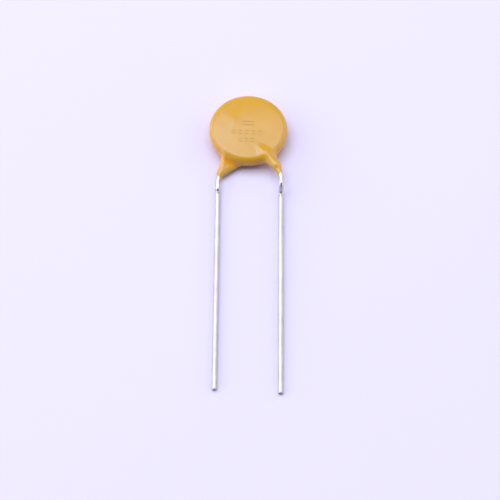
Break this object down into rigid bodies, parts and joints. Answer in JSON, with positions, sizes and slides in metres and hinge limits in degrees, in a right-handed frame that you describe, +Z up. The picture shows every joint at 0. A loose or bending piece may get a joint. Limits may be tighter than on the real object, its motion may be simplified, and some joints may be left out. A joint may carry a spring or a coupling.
{
  "type": "ceramic disc capacitor",
  "caption": "Dipped ceramic disc capacitor with two long tinned radial leads, lying flat with its marked face up.",
  "frame": {"origin": "on the surface the part lies on, under the middle of its bounding box", "axes": "+Y from the lead tips towards the coated disc, +X towards the right lead seen from above with the disc at the far end, +Z up, out of the marked face"},
  "size_m": [0.0094, 0.0387, 0.0024],
  "materials": {
    "fired_ceramic": "matt, fine-grained, fired barium titanate",
    "fired_silver": "dull fired-on silver layer",
    "solder": "grey tin solder, smooth and slightly frosted",
    "tinned_wire": "bright hot-tinned wire, dull where it was kinked and cut",
    "epoxy_coat": "ochre dipped coat, satin gloss, gently uneven"
  },
  "bodies": {
    "root": {"ceramic_disc": "fired_ceramic", "front_electrode": "fired_silver", "rear_electrode": "fired_silver", "front_solder": "solder", "rear_solder": "solder", "front_lead": "tinned_wire", "rear_lead": "tinned_wire", "epoxy_coating": "epoxy_coat"}
  },
  "joints": []
}
